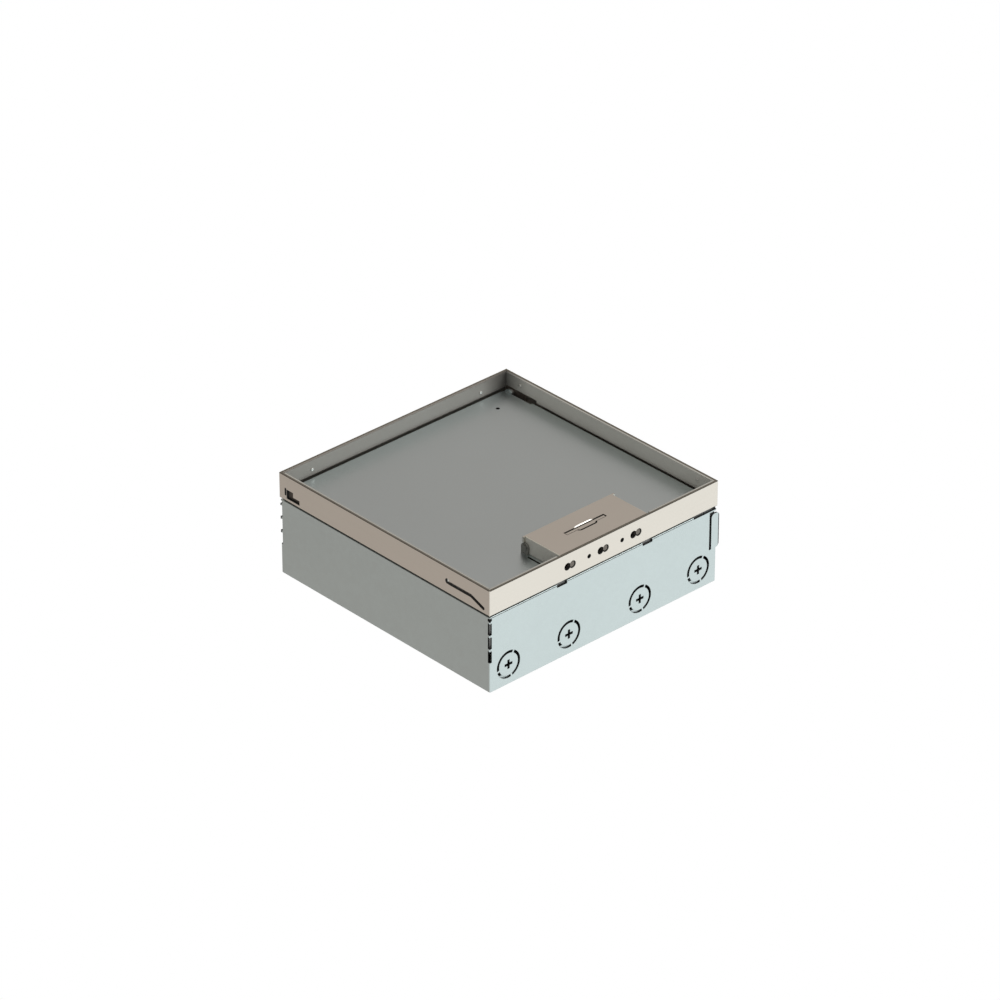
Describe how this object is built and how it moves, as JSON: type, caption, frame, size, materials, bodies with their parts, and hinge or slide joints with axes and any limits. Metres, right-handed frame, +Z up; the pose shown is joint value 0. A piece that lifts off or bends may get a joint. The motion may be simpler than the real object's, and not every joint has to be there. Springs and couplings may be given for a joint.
{
  "type": "floor socket box",
  "caption": "Square floor socket box: galvanised casing with knock-outs, stainless frame, hinged deep-set lid plate and a cord outlet flap at the front edge.",
  "frame": {"origin": "middle of the underside of the base", "axes": "+Z up, -Y towards the wall with the cord outlet, +X to the right seen from the cord outlet's side; the lid hinge is along X near the +Y wall"},
  "size_m": [0.2584, 0.256, 0.096],
  "materials": {
    "galvanised_sheet": "hot-dip galvanised sheet, faint spangle",
    "stainless_outer": "fine ground stainless steel, warm",
    "stainless_inner": "stainless steel strip, satin",
    "lid_sheet": "zinc-coated steel plate, smooth satin",
    "zinc_fittings": "bright zinc plate",
    "brass_contacts": "bright brass",
    "socket_plastic": "white moulded thermoplastic",
    "black_plastic": "black moulded nylon",
    "rubber_seal": "black cellular rubber"
  },
  "bodies": {
    "casing": {"casing_walls": "galvanised_sheet", "base_plate": "galvanised_sheet", "levelling_cups": "black_plastic", "device_carrier": "galvanised_sheet", "carrier_feet": "galvanised_sheet", "carrier_screws": "zinc_fittings", "contact_sleeves": "brass_contacts", "earth_clips": "brass_contacts", "data_socket": "socket_plastic", "power_socket_1": "socket_plastic", "power_socket_2": "socket_plastic", "power_socket_3": "socket_plastic", "strain_relief_rail": "galvanised_sheet", "cable_clamps": "zinc_fittings", "clamp_screws": "zinc_fittings", "earth_stud": "brass_contacts", "earth_nut": "brass_contacts"},
    "frame": {"frame_band": "stainless_outer", "rear_trim": "stainless_inner", "right_trim": "stainless_inner", "left_trim": "stainless_inner", "front_trim_right": "stainless_inner", "front_trim_left": "stainless_inner", "trim_rivets": "zinc_fittings", "lid_ledge": "galvanised_sheet", "lid_seal": "rubber_seal", "collar": "galvanised_sheet", "levelling_lugs": "galvanised_sheet", "levelling_nuts": "zinc_fittings", "hinge_bearing_right": "zinc_fittings", "hinge_bearing_left": "zinc_fittings", "outlet_bracket": "stainless_inner", "outlet_studs": "stainless_inner", "outlet_lip": "rubber_seal"},
    "lid": {"lid_plate": "lid_sheet", "hinge_pin_right": "zinc_fittings", "hinge_pin_left": "zinc_fittings", "lid_stiffeners": "galvanised_sheet", "stay_bracket": "zinc_fittings", "stay_pivot": "zinc_fittings", "flap_ears": "zinc_fittings", "flap_pins": "zinc_fittings", "cord_guard": "black_plastic"},
    "stay": {"lid_stay": "zinc_fittings", "stay_end_pin": "zinc_fittings"},
    "flap": {"cord_flap": "stainless_outer"},
    "handle": {"pull_handle": "stainless_inner"},
    "screw_1": {"levelling_screw_1": "zinc_fittings"},
    "screw_2": {"levelling_screw_2": "zinc_fittings"},
    "screw_3": {"levelling_screw_3": "zinc_fittings"},
    "screw_4": {"levelling_screw_4": "zinc_fittings"}
  },
  "joints": [
    {"name": "frame_height", "type": "slide", "parent": "casing", "child": "frame", "axis": [0, 0, 1], "range_m": [0, 0.025]},
    {"name": "lid_hinge", "type": "hinge", "parent": "frame", "child": "lid", "pos_m": [0, 0.1164, 0.0794], "axis": [-1, 0, 0], "range_deg": [0, 90]},
    {"name": "stay_swing", "type": "hinge", "parent": "lid", "child": "stay", "pos_m": [-0.1226, 0.07494, 0.0768], "axis": [-1, 0, 0], "range_deg": [-101.62, 0]},
    {"name": "flap_hinge", "type": "hinge", "parent": "lid", "child": "flap", "pos_m": [0, -0.086, 0.0867], "axis": [-1, 0, 0], "range_deg": [0, 95]},
    {"name": "handle_lift", "type": "slide", "parent": "flap", "child": "handle", "axis": [0, 0, 1], "range_m": [0, 0.0078]},
    {"name": "screw_1_turn", "type": "hinge", "parent": "casing", "child": "screw_1", "pos_m": [-0.106, -0.106, 0.0032], "axis": [0, 0, -1], "range_deg": [0, 7200.5]},
    {"name": "screw_2_turn", "type": "hinge", "parent": "casing", "child": "screw_2", "pos_m": [0.106, -0.106, 0.0032], "axis": [0, 0, -1], "range_deg": [0, 7200.5]},
    {"name": "screw_3_turn", "type": "hinge", "parent": "casing", "child": "screw_3", "pos_m": [0.106, 0.09, 0.0032], "axis": [0, 0, -1], "range_deg": [0, 7200.5]},
    {"name": "screw_4_turn", "type": "hinge", "parent": "casing", "child": "screw_4", "pos_m": [-0.106, 0.09, 0.0032], "axis": [0, 0, -1], "range_deg": [0, 7200.5]}
  ],
  "couplings": [
    {"joint": "stay_swing", "follows": "lid_hinge", "ratio": -1.1236},
    {"joint": "screw_1_turn", "follows": "frame_height", "rad_per_m": 5026.5},
    {"joint": "screw_2_turn", "follows": "frame_height", "rad_per_m": 5026.5},
    {"joint": "screw_3_turn", "follows": "frame_height", "rad_per_m": 5026.5},
    {"joint": "screw_4_turn", "follows": "frame_height", "rad_per_m": 5026.5}
  ]
}
